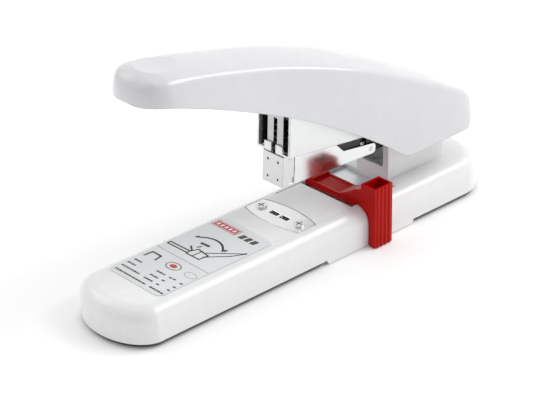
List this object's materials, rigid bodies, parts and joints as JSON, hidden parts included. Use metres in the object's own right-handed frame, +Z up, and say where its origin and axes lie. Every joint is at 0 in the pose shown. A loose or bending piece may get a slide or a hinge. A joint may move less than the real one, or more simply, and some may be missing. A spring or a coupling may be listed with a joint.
{
  "type": "stapler",
  "caption": "Long-arm desk stapler with an arched lever handle, a raised chromed magazine head over an anvil, and a sliding paper stop with a side grip on a flat base.",
  "frame": {"origin": "centre of the middle foot pad on the table plane, under the middle of the base", "axes": "+Y from the nose to the rear of the base, +X towards the side with the grip of the paper stop, +Z up"},
  "size_m": [0.0694, 0.2924, 0.1486],
  "materials": {
    "cover_white": "smooth moulded gloss",
    "underplate_black": "black paint",
    "zinc_steel": "zinc plated sheet",
    "rubber_black": "matte",
    "screw_steel": "plated",
    "label_grey": "printed film",
    "anvil_steel": "ground and plated",
    "bracket_white": "powder coat",
    "pin_steel": "turned",
    "spring_steel": "drawn wire",
    "stop_red": "satin moulded",
    "head_chrome": "polished",
    "guide_black": "matte moulded",
    "arm_black": "black paint",
    "plate_chrome": "satin chrome",
    "staple_zinc": "bright wire",
    "blade_steel": "hardened",
    "frame_steel": "pressed sheet",
    "housing_satin": "satin"
  },
  "bodies": {
    "base": {"base_shell": "cover_white", "base_plate": "underplate_black", "base_beam": "zinc_steel", "slide_plate": "zinc_steel", "feet": "rubber_black", "plate_screws": "screw_steel", "label_plate": "label_grey", "anvil_plate": "anvil_steel", "anvil_screws": "screw_steel", "rear_bracket": "bracket_white", "bracket_bolts": "screw_steel", "pivot_pin": "pin_steel", "pin_clips": "spring_steel", "pivot_spacers": "pin_steel", "lift_spring": "spring_steel"},
    "stop": {"paper_stop": "stop_red", "stop_clips": "zinc_steel"},
    "head": {"head_housing": "housing_satin", "driver_guide": "guide_black", "magazine_guide": "head_chrome", "head_arm": "arm_black", "head_rivets": "pin_steel", "release_spring": "spring_steel", "return_springs": "spring_steel"},
    "release": {"release_slide": "guide_black"},
    "magazine": {"front_plate": "plate_chrome", "magazine_drawer": "zinc_steel", "staple_rail": "zinc_steel", "staples": "staple_zinc", "pusher_spring": "spring_steel"},
    "pusher": {"pusher": "guide_black"},
    "driver": {"driver_carrier": "guide_black", "driver_blade": "blade_steel", "blade_rivets": "pin_steel"},
    "handle": {"handle_shell": "cover_white", "handle_frame": "frame_steel", "roller_axle": "pin_steel", "handle_screws": "screw_steel"},
    "roller": {"press_roller": "blade_steel"}
  },
  "joints": [
    {"name": "head_hinge", "type": "hinge", "parent": "base", "child": "head", "pos_m": [0, 0.0967, 0.05], "axis": [-1, 0, 0], "range_deg": [-11.6, 0], "stiffness_Nm_per_rad": 2, "springref_deg": 34.38, "deforming": ["lift_spring"]},
    {"name": "handle_hinge", "type": "hinge", "parent": "head", "child": "handle", "pos_m": [0, 0.0967, 0.05], "axis": [1, 0, 0], "range_deg": [0, 10.4], "stiffness_Nm_per_rad": 2.5, "springref_deg": -28.65},
    {"name": "driver_slide", "type": "slide", "parent": "head", "child": "driver", "axis": [0, -0.0454, -0.999], "range_m": [0, 0.0186], "deforming": ["return_springs"]},
    {"name": "magazine_slide", "type": "slide", "parent": "head", "child": "magazine", "axis": [0, -0.999, 0.0454], "range_m": [0, 0.06]},
    {"name": "pusher_slide", "type": "slide", "parent": "magazine", "child": "pusher", "axis": [0, 0.999, -0.0454], "range_m": [0, 0.0035], "stiffness_N_per_m": 150, "springref_m": -0.02, "deforming": ["pusher_spring"]},
    {"name": "release_press", "type": "slide", "parent": "head", "child": "release", "axis": [0, 0.999, -0.0454], "range_m": [0, 0.004], "stiffness_N_per_m": 400, "springref_m": -0.004, "deforming": ["release_spring"]},
    {"name": "stop_slide", "type": "slide", "parent": "base", "child": "stop", "axis": [0, 1, 0], "range_m": [-0.0038, 0.0085]},
    {"name": "roller_spin", "type": "hinge", "parent": "handle", "child": "roller", "pos_m": [0, 0.00213, 0.10565], "axis": [1, 0, 0], "continuous": true}
  ],
  "couplings": [
    {"joint": "driver_slide", "follows": "handle_hinge", "m_per_rad": 0.1011}
  ]
}
